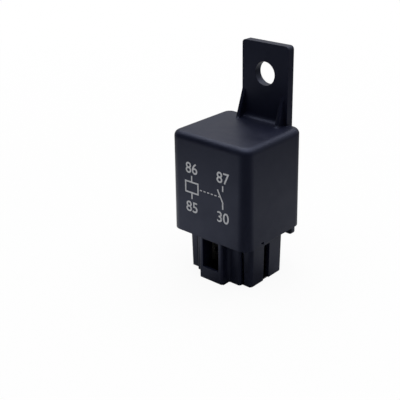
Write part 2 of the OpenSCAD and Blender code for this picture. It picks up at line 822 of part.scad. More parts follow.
// Leaf spring, wide on the armature and narrow at the contact
module contact_spring() {
    rear_y = pivot_y - leaf_inset;
    neck_y = axis_y - armature_reach;
    tip_y = contact_y - contact_d / 2 + leaf_short;
    color(bronze) at_rest() translate([0, 0, leaf_z]) linear_extrude(leaf_t) difference() {
        translate([mech_x, 0])
            polygon([[-leaf_w / 2, rear_y], [-leaf_w / 2, neck_y + neck_l], [-leaf_tip_w / 2, neck_y],
                     [-leaf_tip_w / 2, tip_y], [leaf_tip_w / 2, tip_y], [leaf_tip_w / 2, neck_y],
                     [leaf_w / 2, neck_y + neck_l], [leaf_w / 2, rear_y]]);
        rivet_holes(rivet_d + 2 * ease);
        translate([mech_x, contact_y]) circle(d = shank_d + 2 * ease);
    }
}

module spring_rivets() {
    top_z = leaf_z + leaf_t;
    color(steel) at_rest() for (side = [-1, 1])
        translate([mech_x + side * rivet_x, rivet_y, 0]) rotate_extrude()
            polygon([[0, armature_z], [rivet_d / 2, armature_z], [rivet_d / 2, top_z], [rivet_d, top_z],
                     [rivet_d, top_z + rivet_head_t / 2], [rivet_d / 2, top_z + rivet_head_t],
                     [0, top_z + rivet_head_t]]);
}

// Contact rivet with its domed face at z = 0 and its upset end past a sheet of thickness t
module contact_rivet(t) {
    crown = contact_t / 4;
    rotate_extrude()
        polygon([[0, 0], [contact_d / 2 - crown, 0], [contact_d / 2, crown], [contact_d / 2, contact_t],
                 [shank_d / 2, contact_t], [shank_d / 2, contact_t + t], [upset_r, contact_t + t],
                 [upset_r, contact_t + t + upset_t], [0, contact_t + t + upset_t]]);
}

module moving_contact() {
    color(silver_alloy) at_rest() translate([mech_x, contact_y, leaf_z - contact_t]) contact_rivet(leaf_t);
}

module fixed_contact() {
    color(silver_alloy) translate([mech_x, contact_y, seat_z + contact_t]) mirror([0, 0, 1])
        contact_rivet(blade_t);
}

// Portal over the tip of the contact spring
module backstop() {
    reach = pivot_y - contact_y + upset_r;
    stop_z = armature_z + rest_height(reach, armature_t + leaf_t + upset_t) + ease;
    half = (stop_span + stop_t) / 2;
    leg = stop_z + stop_t / 2 - floor_z;
    color(bronze) translate([mech_x, contact_y + stop_w / 2, floor_z + leg]) rotate([90, 0, 0])
        bent_sheet([[-half, -leg], [-half, 0], [half, 0], [half, -leg]], stop_t, stop_bend, stop_w);
}

// ---- Return spring, braid and resistor ----

// Lower half of the return spring's way, from the foot under the lug to half its height: foot,
// straight end, spiral outwards and coils. Z is counted from the spring's middle
function spring_half(turn_r, per_turn) =
    let (low_z = -spring_l / 2, foot_z = -spring_l / 2 - spring_end, hook_r = spring_wire,
         in_r = turn_r / 4, spread = 8, steps = spring_turns * per_turn / 2)
    [
        [0, -hook_hole_d, foot_z],
        for (a = [0:30:90]) [0, -hook_r + hook_r * sin(a), foot_z + hook_r - hook_r * cos(a)],
        [0, 0, low_z - 2 * hook_r],
        [0, 0, low_z - hook_r],
        for (i = [0:spread - 1])
            let (a = -270 + 270 * i / spread, r = in_r + (turn_r - in_r) * i / spread)
                [r * cos(a), r * sin(a), low_z],
        for (i = [0:steps - 1])
            let (a = 360 * i / per_turn)
                [turn_r * cos(a), turn_r * sin(a), low_z + spring_l * i / (2 * steps)]
    ];

// Tension spring from the yoke's lug to the armature's tail; its upper half is the lower half
// turned over
module return_spring() {
    turn_r = (spring_d - spring_wire) / 2;
    half = spring_half(turn_r, 10);
    middle = [turn_r * cos(180 * spring_turns), 0, 0];
    upper = [for (i = [len(half) - 1:-1:0]) [half[i].x, -half[i].y, -half[i].z]];
    color(steel) translate([mech_x, spring_y, spring_middle_z])
        tube(concat(half, [middle], upper), spring_wire, 6, [1, 0, 0]);
}

// Point of a curve with the ends p[0] and p[3] and the handles p[1] and p[2]
function curve_point(p, t) =
    pow(1 - t, 3) * p[0] + 3 * pow(1 - t, 2) * t * p[1] + 3 * (1 - t) * t * t * p[2] + pow(t, 3) * p[3];

// Braid in a bow from the post of terminal 30 to the top of the contact spring
module braid() {
    post_middle_x = mech_x + column_x + braid_post_x + braid_post_w / 2;
    leaf_top = armature_z + rest_height(pivot_y - rear_row_y, armature_t + leaf_t);
    rest_z = leaf_top + braid_d / 2 + ease;
    bow = [[post_middle_x, rear_row_y, braid_post_top + ease],
           [post_middle_x, rear_row_y, rest_z + braid_rise],
           [mech_x + leaf_w / 2 + braid_reach, rear_row_y, rest_z],
           [mech_x + leaf_w / 2 - braid_lap, rear_row_y, rest_z]];
    steps = 16;
    color(copper) tube([for (i = [0:steps]) curve_point(bow, i / steps)], braid_d, 10, [0, 1, 0]);
}

// Ceramic rod between two end caps, under one coat
module suppression_resistor() {
    cap = resistor_l / 5;
    waist_r = resistor_d / 2 * 0.86;
    color(resistor_blue) translate([resistor_x, resistor_y, resistor_z]) rotate_extrude()
        polygon([[0, 0], [waist_r, 0], [resistor_d / 2, cap / 3], [resistor_d / 2, cap],
                 [waist_r, cap * 1.4], [waist_r, resistor_l - cap * 1.4], [resistor_d / 2, resistor_l - cap],
                 [resistor_d / 2, resistor_l - cap / 3], [waist_r, resistor_l], [0, resistor_l]]);
}

module resistor_leads() {
    low_z = resistor_z - lead_bend;
    high_z = resistor_z + resistor_l + lead_bend;
    color(steel) {
        wire([[resistor_x, resistor_y, resistor_z], [resistor_x, resistor_y, low_z],
              [resistor_x, rear_row_y + blade_t / 2 + ease, low_z]], lead_d);
        wire([[resistor_x, resistor_y, resistor_z + resistor_l], [resistor_x, resistor_y, high_z],
              [resistor_x, front_row_y, high_z], [resistor_x, front_row_y, solder_post_top + ease]], lead_d);
    }
}

cover();
base();
terminal_30();
terminal_87();
terminal_85();
terminal_86();
bobbin();
winding();
coil_tape();
coil_leads();
core();
yoke();
armature();
contact_spring();
spring_rivets();
moving_contact();
fixed_contact();
backstop();
return_spring();
braid();
suppression_resistor();
resistor_leads();
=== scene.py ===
"""Plug-in automotive relay with a mounting tab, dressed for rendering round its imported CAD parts.

Lengths are in millimetres, and mm turns them into metres. x runs to the right, y to the back and z up
from the rim of the plug."""

import math

import bmesh
import bpy
import numpy as np
from mathutils import Matrix, Vector


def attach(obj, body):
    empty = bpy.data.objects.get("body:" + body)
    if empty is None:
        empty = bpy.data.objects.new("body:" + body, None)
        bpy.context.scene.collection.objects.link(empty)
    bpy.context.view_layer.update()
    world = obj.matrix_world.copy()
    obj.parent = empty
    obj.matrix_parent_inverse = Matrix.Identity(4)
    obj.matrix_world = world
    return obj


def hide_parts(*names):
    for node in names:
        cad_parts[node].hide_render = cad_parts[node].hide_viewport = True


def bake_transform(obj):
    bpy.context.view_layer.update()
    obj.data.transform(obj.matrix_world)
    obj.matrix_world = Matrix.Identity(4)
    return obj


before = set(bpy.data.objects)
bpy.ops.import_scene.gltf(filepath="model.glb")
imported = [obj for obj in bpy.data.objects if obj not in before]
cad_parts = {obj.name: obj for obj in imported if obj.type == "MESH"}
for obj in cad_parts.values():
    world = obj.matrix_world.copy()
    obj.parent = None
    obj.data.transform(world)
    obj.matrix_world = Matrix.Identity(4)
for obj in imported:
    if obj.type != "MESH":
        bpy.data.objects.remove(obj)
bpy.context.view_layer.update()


# ---- Cover ----
# One injection moulding in black glass-filled nylon: the drafted box, the screw tab, its two
# gussets and the rear skirt. The mould is spark-eroded, so the faces have a fine, even grain.
# It slides down over the mechanism and snaps on to the base.

mm = 0.001
black_nylon = (0.0048, 0.0058, 0.0155)
bluish, colourless = (0.60, 0.68, 1.0), (1.0, 1.0, 1.0)
noise_low, noise_high = 0.3, 0.7  # nearly all of a noise lies between these


class Finish:
    """A new material, or a new world, and the shader nodes that make it. Each input of a node is linked to
    the socket given for it, or set to the value."""

    def __init__(self, name, owners=bpy.data.materials):
        self.owner = owners.new(name)
        self.owner.use_nodes = True
        self.nodes = self.owner.node_tree.nodes

    def fill(self, node, inputs):
        """Gives a node its inputs."""
        for key, value in inputs.items():
            if isinstance(value, bpy.types.NodeSocket):
                self.owner.node_tree.links.new(value, node.inputs[key])
            else:
                node.inputs[key].default_value = value
        return node

    def add(self, kind, inputs, **settings):
        """A new node with its settings and inputs."""
        node = self.nodes.new("ShaderNode" + kind)
        for key, value in settings.items():
            setattr(node, key, value)
        return self.fill(node, inputs)

    def place(self):
        """Where a point lies, in metres."""
        return self.add("TexCoord", {}).outputs["Object"]

    def noise(self, place, per_metre, detail, roughness=0.5):
        """Cloudy noise between 0 and 1, with so many clouds to the metre."""
        return self.add("TexNoise", {"Vector": place, "Scale": per_metre, "Detail": detail,
                                     "Roughness": roughness}).outputs["Fac"]

    def streaks(self, place, per_metre, detail):
        """Noise with its own count to the metre along x, y and z, long along the axis with the lowest."""
        drawn = self.add("VectorMath", {0: place, 1: per_metre}, operation="MULTIPLY")
        return self.noise(drawn.outputs["Vector"], 1.0, detail)

    def ramp(self, value, start, end, low, high, smooth=False):
        """Goes from low to high as the value goes from start to end, and is level before and after."""
        return self.add("MapRange", {"Value": value, "From Min": start, "From Max": end, "To Min": low,
                                     "To Max": high},
                        interpolation_type="SMOOTHSTEP" if smooth else "LINEAR").outputs["Result"]

    def reckon(self, operation, *values):
        """One step of arithmetic on up to three numbers."""
        return self.add("Math", dict(enumerate(values)), operation=operation).outputs[0]

    def mix(self, share, one, other):
        """The colour that lies the given share of the way from one to the other."""
        return self.add("MixRGB", {"Fac": share, "Color1": (*one, 1), "Color2": (*other, 1)}).outputs["Color"]

    def scale(self, colour, factor):
        """The colour, brighter or darker by a factor."""
        return self.add("VectorMath", {0: colour, "Scale": factor}, operation="SCALE").outputs["Vector"]

    def bump(self, height, strength, depth, over=None):
        """The surface's direction with a height pattern pressed into it, over another such direction."""
        inputs = {"Height": height, "Strength": strength, "Distance": depth}
        return self.add("Bump", inputs if over is None else {**inputs, "Normal": over}).outputs["Normal"]

    def surface(self, inputs):
        """Gives the material's own shader its inputs, and hands the material over."""
        self.fill(self.nodes["Principled BSDF"], inputs)
        return self.owner


def moulded_plastic(name, tone, roughness, grain, grain_size, edge, sheen=bluish, roof_edge=0.0):
    """Moulded plastic. The tone drifts by up to a fifth over a few millimetres, long fine rubs polish it here
    and there, the grain is a bump of fine noise over broader flow marks, and every edge is rounded by the
    mould to the given radius and slightly rubbed. Round the roof, but not at the tab, the rounding is wider
    by roof_edge. The sheen tints what the plastic mirrors."""
    drift, edge_lift = 0.18, 0.35
    smoother, rougher, rub_polish, edge_polish = 0.04, 0.05, 0.06, 0.05
    flow_marks, flow_strength, flow_depth = 210.0, 0.35, 0.03 * mm
    rub_run, rub_from, rub_to = (5200.0, 5200.0, 260.0), 0.62, 0.74
    roof_from, roof_to, tab_from, tab_to = 36.5 * mm, 39.0 * mm, 6.5 * mm, 8.5 * mm
    sharp_from, sharp_to = 0.99, 0.86

    plastic = Finish(name)
    place = plastic.place()
    flow = plastic.noise(place, flow_marks, 4.0, 0.6)
    fine = plastic.noise(place, 1 / grain_size, 3.0, 0.65)
    rubbed = plastic.ramp(plastic.streaks(place, rub_run, 2.0), rub_from, rub_to, 0.0, 1.0)
    split = plastic.add("SeparateXYZ", {"Vector": place}).outputs
    at_roof = plastic.ramp(split["Z"], roof_from, roof_to, 0.0, roof_edge)
    off_tab = plastic.ramp(split["Y"], tab_from, tab_to, 1.0, 0.0)
    radius = plastic.reckon("MULTIPLY_ADD", at_roof, off_tab, edge)
    rounded = plastic.add("Bevel", {"Radius": radius}, samples=6).outputs["Normal"]
    flat = plastic.add("NewGeometry", {}).outputs["Normal"]
    turn = plastic.add("VectorMath", {0: rounded, 1: flat}, operation="DOT_PRODUCT").outputs["Value"]
    worn = plastic.ramp(turn, sharp_from, sharp_to, 0.0, 1.0)
    tint = plastic.mix(flow, [(1 - drift) * c for c in tone], [(1 + drift) * c for c in tone])
    speck = plastic.ramp(fine, noise_low, noise_high, 1 - drift, 1 + drift)
    colour = plastic.scale(tint, plastic.reckon("MULTIPLY_ADD", worn, edge_lift, speck))
    rough = plastic.ramp(flow, noise_low, noise_high, roughness - smoother, roughness + rougher)
    rough = plastic.reckon("MULTIPLY_ADD", rubbed, -rub_polish, rough)
    rough = plastic.reckon("MULTIPLY_ADD", worn, -edge_polish, rough)
    skin = plastic.bump(fine, 1.0, grain, plastic.bump(flow, flow_strength, flow_depth, rounded))
    return plastic.surface({"Base Color": colour, "Roughness": rough, "Normal": skin,
                            "Specular Tint": (*sheen, 1)})


def dress(node, material):
    """Gives a CAD node its finish."""
    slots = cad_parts[node].data.materials
    slots.clear()
    slots.append(material)


dress("cover", moulded_plastic("cover_plastic", black_nylon, 0.43, grain=0.012 * mm, grain_size=0.16 * mm,
                               edge=0.18 * mm, roof_edge=1.3 * mm))


# ---- Print on the cover's front ----
# The terminal plan that such relays carry: coil between 86 and 85, contact between 30 and 87,
# joined by the dashed line of the armature. It is pad-printed in one pass of pale ink, 0.02 mm
# thick, so it follows the face's draft and lets a little of the grain through.

draft_slope = math.tan(math.radians(0.4))
face_y, roof_z = -12.0, 40.5
ink_out, ink_in = 0.02, 0.03
stroke, dash_stroke = 0.42, 0.3
coil_x, contact_x = -5.5, 5.2
wire_top, wire_bottom = 29.3, 22.7
coil_top, coil_bottom, coil_half = 27.5, 24.5, 2.4
fixed_end, pivot_z = 27.7, 24.5
blade_foot, blade_tip = (0.1, 24.4), (-1.75, 27.9)
dash_z, dash_length, dash_pitch, coil_gap, blade_gap = 26.0, 0.7, 1.25, 0.5, 1.3
digit_size, digit_weight, digit_steps, weld_gap = 4.3, 0.03, 5, 1e-5
upper_row, lower_row = 30.0, 18.9
ink_dark, ink_light = (0.44, 0.45, 0.48), (0.58, 0.59, 0.62)
pore_from, pore_to, pore_tone = 0.3, 0.48, 0.72


def bar(start, end, width=stroke):
    """The four corners of a straight stroke, half its width to either side of its start and of its end,
    anticlockwise, in x and z."""
    start, end = np.array(start, float), np.array(end, float)
    along = (end - start) / np.linalg.norm(end - start)
    aside = np.array([-along[1], along[0]]) * width / 2
    return np.array([start - aside, end - aside, end + aside, start + aside])


def put(name, data):
    """A new object at the origin of the scene, made of the given data."""
    made = bpy.data.objects.new(name, data)
    bpy.context.scene.collection.objects.link(made)
    return made


half = stroke / 2
coil_left, coil_right = coil_x - coil_half, coil_x + coil_half
bars = [
    bar((coil_x, wire_top), (coil_x, coil_top + half)),
    bar((coil_x, coil_bottom - half), (coil_x, wire_bottom)),
    bar((coil_left, coil_top), (coil_right, coil_top)),
    bar((coil_left, coil_bottom), (coil_right, coil_bottom)),
    bar((coil_left + half, coil_bottom + half), (coil_left + half, coil_top - half)),
    bar((coil_right - half, coil_bottom + half), (coil_right - half, coil_top - half)),
    bar((contact_x, wire_top), (contact_x, fixed_end)),
    bar((contact_x, pivot_z), (contact_x, wire_bottom)),
    bar((contact_x + blade_foot[0], blade_foot[1]), (contact_x + blade_tip[0], blade_tip[1])),
]
bars += [bar((dash, dash_z), (dash + dash_length, dash_z), dash_stroke)
         for dash in np.arange(coil_right + coil_gap, contact_x - blade_gap, dash_pitch)]
corners = np.concatenate(bars)
count = len(corners)
# Flat form: x, height, and 0 on the back of the ink or 1 on its front.
flat = np.concatenate([np.column_stack([corners, np.full(count, layer)]) for layer in (0.0, 1.0)])
first = np.arange(0, count, 4)
quads = [np.column_stack([first + 3, first + 2, first + 1, first]),
         np.column_stack([first, first + 1, first + 2, first + 3]) + count]
for side in range(4):
    a, b = first + side, first + (side + 1) % 4
    quads.append(np.column_stack([a, b, b + count, a + count]))
polygons = np.concatenate(quads).tolist()
for digits, x, z in (("86", coil_x, upper_row), ("87", contact_x, upper_row),
                     ("85", coil_x, lower_row), ("30", contact_x, lower_row)):
    text = bpy.data.curves.new("digits", "FONT")
    text.body = digits
    text.size = digit_size
    text.align_x = "CENTER"
    text.offset = digit_weight
    text.extrude = 0.5
    text.resolution_u = digit_steps
    holder = put("digits", text)
    bpy.context.view_layer.update()
    shape = bpy.data.meshes.new_from_object(holder.evaluated_get(bpy.context.evaluated_depsgraph_get()))
    welded = bmesh.new()
    welded.from_mesh(shape)
    bmesh.ops.remove_doubles(welded, verts=welded.verts, dist=weld_gap)
    welded.to_mesh(shape)
    welded.free()
    shape.calc_loop_triangles()
    points = np.empty(3 * len(shape.vertices))
    triangles = np.empty(3 * len(shape.loop_triangles), np.int32)
    shape.vertices.foreach_get("co", points)
    shape.loop_triangles.foreach_get("vertices", triangles)
    polygons += (triangles.reshape(-1, 3) + len(flat)).tolist()
    flat = np.concatenate([flat, points.reshape(-1, 3) + (x, z, 0.5)])
    bpy.data.objects.remove(holder)
    bpy.data.curves.remove(text)
    bpy.data.meshes.remove(shape)
ink_y = face_y - (roof_z - flat[:, 1]) * draft_slope + np.where(flat[:, 2] > 0.5, -ink_out, ink_in)
print_mesh = bpy.data.meshes.new("front_print")
print_mesh.from_pydata((np.column_stack([flat[:, 0], ink_y, flat[:, 1]]) * mm).tolist(), [], polygons)

ink = Finish("print_ink")
place = ink.place()
pores = ink.noise(place, 6200.0, 2.0)
tone = ink.mix(ink.noise(place, 900.0, 3.0), ink_dark, ink_light)
print_mesh.materials.append(ink.surface({
    "Base Color": ink.scale(tone, ink.ramp(pores, pore_from, pore_to, pore_tone, 1.0)),
    "Normal": ink.bump(pores, 0.5, 0.01 * mm),
    "Roughness": 0.55,
    "Specular IOR Level": 0.3,
}))
front_print = put("front_print", print_mesh)
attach(front_print, "housing")


# ---- Base ----
# One injection moulding in the same nylon from a smoother mould: the plate inside the cover, the
# plug shroud, its tongue and latch box.

dress("base", moulded_plastic("base_plastic", black_nylon, 0.41, grain=0.008 * mm, grain_size=0.2 * mm,
                              edge=0.15 * mm))


# ---- Terminals ----
# Four blades stamped from pre-tinned brass strip and pushed up through the base, where barbs hold
# them. Their sheared edges show the bare brass, and the flats have fine rolling lines.

tin, bare_brass = (0.46, 0.45, 0.42), (0.50, 0.38, 0.19)


def sheet_metal(name, tone, edge_tone, roughness, run, stain=0.12, edge_axis=0, depth=0.004 * mm,
                reach=1.5 * mm, painted_shade=0.3):
    """Rolled and stamped sheet. Rolling lines run along one axis (the small number in run), a thin stain
    drifts over it, and the faces turned to edge_axis are sheared: bare and rougher. Where other pieces come
    within reach the colour is darkened by up to the given share: painted shade in the crevices."""
    clouds, stain_from, stain_to = 420.0, 0.35, 0.7
    pits_per_metre, pit_depth = 5200.0, 0.002 * mm
    smoother, rougher, shear_rougher = 0.07, 0.09, 0.12
    shear_from, shear_to, closed, open_wide = 0.8, 0.95, 0.2, 0.8

    metal = Finish(name)
    coordinates = metal.add("TexCoord", {}).outputs
    place = coordinates["Object"]
    lines = metal.streaks(place, run, 3.0)
    cloud = metal.noise(place, clouds, 4.0, 0.6)
    pits = metal.noise(place, pits_per_metre, 2.0)
    facing = metal.add("SeparateXYZ", {"Vector": coordinates["Normal"]}).outputs[edge_axis]
    sheared = metal.ramp(metal.reckon("ABSOLUTE", facing), shear_from, shear_to, 0.0, 1.0)
    clean = metal.ramp(cloud, stain_from, stain_to, 1.0, 1.0 - stain)
    # Painted shade: the nearer other pieces are, the darker the colour.
    openness = metal.add("AmbientOcclusion", {"Distance": reach}, samples=6).outputs["AO"]
    painted_shade_factor = metal.ramp(openness, closed, open_wide, 1.0 - painted_shade, 1.0)
    colour = metal.mix(sheared, tone, edge_tone)
    rough = metal.ramp(lines, noise_low, noise_high, roughness - smoother, roughness + rougher)
    return metal.surface({
        "Base Color": metal.scale(colour, metal.reckon("MULTIPLY", clean, painted_shade_factor)),
        "Roughness": metal.reckon("MULTIPLY_ADD", sheared, shear_rougher, rough),
        "Normal": metal.bump(pits, 0.5, pit_depth, metal.bump(lines, 0.6, depth)),
        "Metallic": 1.0,
    })


# Within 9 mm of other pieces, as inside the plug and behind its window, the blades are painted up to 85 %
# darker: painted shade.
tinned = sheet_metal("tinned_brass", tin, bare_brass, 0.44, (6000.0, 6000.0, 220.0), stain=0.3,
                     reach=9 * mm, painted_shade=0.85)
for blade in ("terminal_30", "terminal_85", "terminal_86", "terminal_87"):
    dress(blade, tinned)


# ---- Bobbin ----
# Spool moulded in natural glass-filled nylon, cream and slightly waxy. It carries the winding
# and is held between the yoke's foot and the core's pole head.

cream_nylon = (0.66, 0.62, 0.50)
dress("bobbin", moulded_plastic("bobbin_nylon", cream_nylon, 0.46, grain=0.010 * mm, grain_size=0.18 * mm,
                                edge=0.08 * mm, sheen=colourless))


# ---- Winding ----
# Enamelled copper wire wound on the bobbin in close turns. The outside is the last layer: a row
# of half-round ridges one wire apart.

mech_x, coil_y = 0.9, -0.3
winding_low, winding_high = 19.75, 32.65
winding_in, winding_out = 4.2, 6.0
turn_pitch, groove = 0.3, 0.75
points_a_turn, steps_round = 6, 72
enamel_dark, enamel_light, enamel_tint = (0.52, 0.19, 0.07), (0.72, 0.31, 0.12), (1.0, 0.72, 0.45)


def piece(name, points, polygons, material, body, node):
    """A new closed piece in the place of one CAD node, in millimetres. It rides on the body, if one is
    given."""
    mesh = bpy.data.meshes.new(name)
    mesh.from_pydata((np.asarray(points) * mm).tolist(), [], polygons)
    mesh.materials.append(material)
    mesh.shade_smooth()
    made = put(name, mesh)
    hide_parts(node)
    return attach(made, body) if body else made


def ring_faces(rings, size):
    """Quads between closed rings of size points each, the rings in order, the last joined to the first by
    the last size quads."""
    i, j = np.meshgrid(np.arange(rings), np.arange(size), indexing="ij")
    a, b = i * size, (i + 1) % rings * size
    k = (j + 1) % size
    return np.stack([a + j, b + j, b + k, a + k], -1).reshape(-1, 4).tolist()


# The profile goes up the outside, with a round ridge for each turn, and straight down the bore. It is
# turned round the coil's axis. ridge is 1 on a turn's crown and 0 between two turns, where the wire's
# circle has fallen back by the share called groove.
turns = round((winding_high - winding_low) / turn_pitch)
z_out = np.linspace(winding_low, winding_high, 1 + points_a_turn * turns)
ridge = np.abs(np.sin(np.pi * (z_out - winding_low) / turn_pitch))
r_out = winding_out - turn_pitch / 2 * (1 - np.sqrt(1 - (1 - ridge) ** 2 * groove))
section = np.concatenate([np.column_stack([r_out, z_out]),
                          [[winding_in, winding_high], [winding_in, winding_low]]])
angle = np.linspace(0, 2 * np.pi, steps_round, endpoint=False)
wound = np.stack([mech_x + np.outer(np.cos(angle), section[:, 0]),
                  coil_y + np.outer(np.sin(angle), section[:, 0]),
                  np.broadcast_to(section[:, 1], (steps_round, len(section)))], -1).reshape(-1, 3)

enamel = Finish("enamelled_copper")
place = enamel.place()
scratch = enamel.noise(place, 7000.0, 2.0)
enamelled_copper = enamel.surface({
    "Base Color": enamel.mix(enamel.noise(place, 380.0, 4.0), enamel_dark, enamel_light),
    "Roughness": enamel.ramp(scratch, 0.0, 1.0, 0.18, 0.36),
    "Normal": enamel.bump(scratch, 0.4, 0.004 * mm),
    "Metallic": 1.0,
    "Coat Weight": 0.5,
    "Coat Roughness": 0.15,
    "Coat Tint": (*enamel_tint, 1),
})
piece("winding_turns", wound, ring_faces(steps_round, len(section)), enamelled_copper, "housing",
      "winding")
dress("coil_leads", enamelled_copper)


# ---- Coil tape ----
# One turn of yellow polyester tape round the winding, with a lap of 30 degrees where its end is
# stuck down. The film is 0.09 mm thick, so the lap stands a film's thickness higher.

tape_low, tape_high, tape_r = 20.0, 32.4, 6.03
film, lap_gap = 0.09, 0.01
lap, rise_angle, start_angle = math.radians(30), 0.25, math.radians(200)
tape_rings = 131
tape_dark, tape_light = (0.66, 0.42, 0.05), (0.80, 0.56, 0.10)

# A flat rectangle carried round the coil. Its radius rises by one film just before a full turn.
turn = np.linspace(0, 2 * np.pi + lap, tape_rings)
rise = (film + lap_gap) * np.clip((turn - (2 * np.pi - rise_angle)) / rise_angle, 0, 1)
low_r = tape_r + rise
corner_r = np.stack([low_r, low_r + film, low_r + film, low_r], 1)
corner_z = np.array([tape_low, tape_low, tape_high, tape_high])
strip = np.stack([mech_x + corner_r * np.cos(turn + start_angle)[:, None],
                  coil_y + corner_r * np.sin(turn + start_angle)[:, None],
                  np.broadcast_to(corner_z, corner_r.shape)], -1).reshape(-1, 3)
last = 4 * (tape_rings - 1)
tape_faces = ring_faces(tape_rings, 4)[:-4] + [[0, 1, 2, 3], [last + 3, last + 2, last + 1, last]]

tape = Finish("polyester_tape")
place = tape.place()
crease = tape.streaks(place, (1500.0, 1500.0, 160.0), 3.0)
polyester_tape = tape.surface({
    "Base Color": tape.mix(tape.noise(place, 520.0, 3.0), tape_dark, tape_light),
    "Roughness": tape.ramp(crease, 0.0, 1.0, 0.16, 0.34),
    "Normal": tape.bump(crease, 0.5, 0.02 * mm),
})
piece("coil_tape_wrap", strip, tape_faces, polyester_tape, "housing", "coil_tape")


# ---- Magnet ----
# Core, yoke and armature carry the coil's field. The core is turned from soft iron and staked in
# the foot of the yoke; yoke and armature are pressed from mild steel strip and zinc plated.

iron_grey = (0.42, 0.42, 0.43)
dress("core", sheet_metal("soft_iron", iron_grey, iron_grey, 0.38, (420.0, 420.0, 9000.0), stain=0.25,
                          edge_axis=2))
zinc = sheet_metal("zinc_plated_steel", (0.60, 0.62, 0.65), (0.47, 0.48, 0.50), 0.36,
                   (5000.0, 5000.0, 260.0), stain=0.16)
dress("yoke", zinc)
dress("backstop", zinc)
dress("armature", sheet_metal("zinc_plated_strip", (0.62, 0.64, 0.67), (0.48, 0.49, 0.51), 0.33,
                              (8000.0, 500.0, 8000.0), stain=0.16, depth=0.0015 * mm))


# ---- Contact set ----
# The leaf is phosphor bronze strip, riveted to the armature. The two contacts are silver alloy
# rivets whose faces have been wiped dull by switching.

dress("contact_spring", sheet_metal("phosphor_bronze", (0.72, 0.47, 0.25), (0.60, 0.36, 0.18), 0.34,
                                    (11000.0, 900.0, 11000.0), stain=0.10, depth=0.0008 * mm))
dress("spring_rivets", sheet_metal("rivet_steel", (0.56, 0.57, 0.59), (0.50, 0.51, 0.53), 0.30,
                                   (2600.0, 2600.0, 2600.0), stain=0.2, edge_axis=2))
silver = sheet_metal("silver_alloy", (0.80, 0.80, 0.79), (0.62, 0.61, 0.59), 0.32,
                     (2400.0, 2400.0, 2400.0), stain=0.22, edge_axis=2)
dress("moving_contact", silver)
dress("fixed_contact", silver)


# ---- Return spring ----
# Tension spring coiled from 0.35 mm spring wire, tin plated. Its hooks sit in the armature's tail
# and in the lug of the yoke.

spring_x, spring_y, spring_z = 0.9, 9.45, 29.63
spring_wire, spring_width, spring_half, spring_turns = 0.35, 2.1, 4.0, 12
end_length, hook_out, hook_grip = 2.8, 0.9, 0.4
shank_low, shank_high = 3 * spring_wire, 1.6 * spring_wire
spiral_turn, spiral_start = 0.75, 0.25
hook_points, spiral_points, points_a_half_turn = 7, 16, 10
wire_tone = (0.66, 0.66, 0.67)


def sweep(path, radius, sides=8, first=0):
    """Round bar along a path, its end faces closed and its points numbered from first. Each ring is a circle
    square to the path: the radius times the cosine of an angle to the side, plus its sine across that. The
    side is carried along without twist: it is the last ring's side, less its part along the path."""
    path = np.asarray(path, float)
    way = np.gradient(path, axis=0)
    way /= np.linalg.norm(way, axis=1, keepdims=True)
    side = np.array([1.0, 0.0, 0.0]) if abs(way[0, 0]) < 0.9 else np.array([0.0, 1.0, 0.0])
    sides_at = np.empty_like(path)
    for index, direction in enumerate(way):
        side = side - direction * (side @ direction)
        side /= np.linalg.norm(side)
        sides_at[index] = side
    other = np.cross(way, sides_at)
    angle = np.linspace(0, 2 * np.pi, sides, endpoint=False)
    ring = np.cos(angle)[None, :, None] * sides_at[:, None] + np.sin(angle)[None, :, None] * other[:, None]
    points = (path[:, None] + radius * ring).reshape(-1, 3)
    i, j = np.meshgrid(np.arange(len(path) - 1), np.arange(sides), indexing="ij")
    k = (j + 1) % sides
    faces = np.stack([i * sides + j, i * sides + k, (i + 1) * sides + k, (i + 1) * sides + j], -1)
    ends = np.stack([np.arange(sides)[::-1], np.arange(sides) + (len(path) - 1) * sides])
    return points, (faces.reshape(-1, 4) + first).tolist() + (ends + first).tolist()


# The lower half, from its hook up: a quarter circle, a straight shank, a spiral out to the coil's
# radius, and half of the turns. The upper half is the same, turned about x, back to its own hook.
turn_r = (spring_width - spring_wire) / 2
hook_r = spring_wire
foot_z = -spring_half - end_length
hook = np.radians(np.linspace(0, 90, hook_points))
spiral = np.linspace(0, 1, spiral_points, endpoint=False)
wrap = -2 * np.pi * spiral_turn * (1 - spiral)
wrap_r = turn_r * (spiral_start + (1 - spiral_start) * spiral)
coil = np.linspace(0, np.pi * spring_turns, points_a_half_turn * spring_turns + 1)
lower = np.concatenate([
    [[0, -hook_out, foot_z]],
    np.column_stack([0 * hook, -hook_r + hook_r * np.sin(hook), foot_z + hook_r - hook_r * np.cos(hook)]),
    [[0, 0, -spring_half - shank_low], [0, 0, -spring_half - shank_high]],
    np.column_stack([wrap_r * np.cos(wrap), wrap_r * np.sin(wrap),
                     -spring_half - spring_wire * (1 - spiral)]),
    np.column_stack([turn_r * np.cos(coil), turn_r * np.sin(coil),
                     -spring_half + spring_half * coil / coil[-1]]),
])
upper = (lower * (1, -1, -1))[-2::-1]
spring_path = np.concatenate([lower, upper]) + (spring_x, spring_y, spring_z)
spring_points, spring_faces = sweep(spring_path, spring_wire / 2)
spring_finish = sheet_metal("tinned_spring_wire", wire_tone, wire_tone, 0.26, (3000.0, 3000.0, 3000.0),
                            stain=0.18)
spring = piece("return_spring_coils", spring_points, spring_faces, spring_finish, None,
               "return_spring")
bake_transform(spring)


# ---- Braid ----
# Flexible copper braid from the post of terminal 30 to the leaf: sixteen bare strands, half of
# them wound each way and passing over and under one another. It is welded at both ends.

bow = np.array([[9.1, 1.3, 30.75], [9.1, 1.3, 38.81], [7.9, 1.3, 37.41], [2.5, 1.3, 37.41]])
braid_r, strand_r, strands, winds, weave_r = 0.50, 0.13, 8, 3.0, 0.07
weld_part, weld_squeeze, braid_steps, strand_sides = 0.06, 0.35, 150, 6
copper_dark, copper_light = (0.50, 0.20, 0.10), (0.80, 0.42, 0.25)

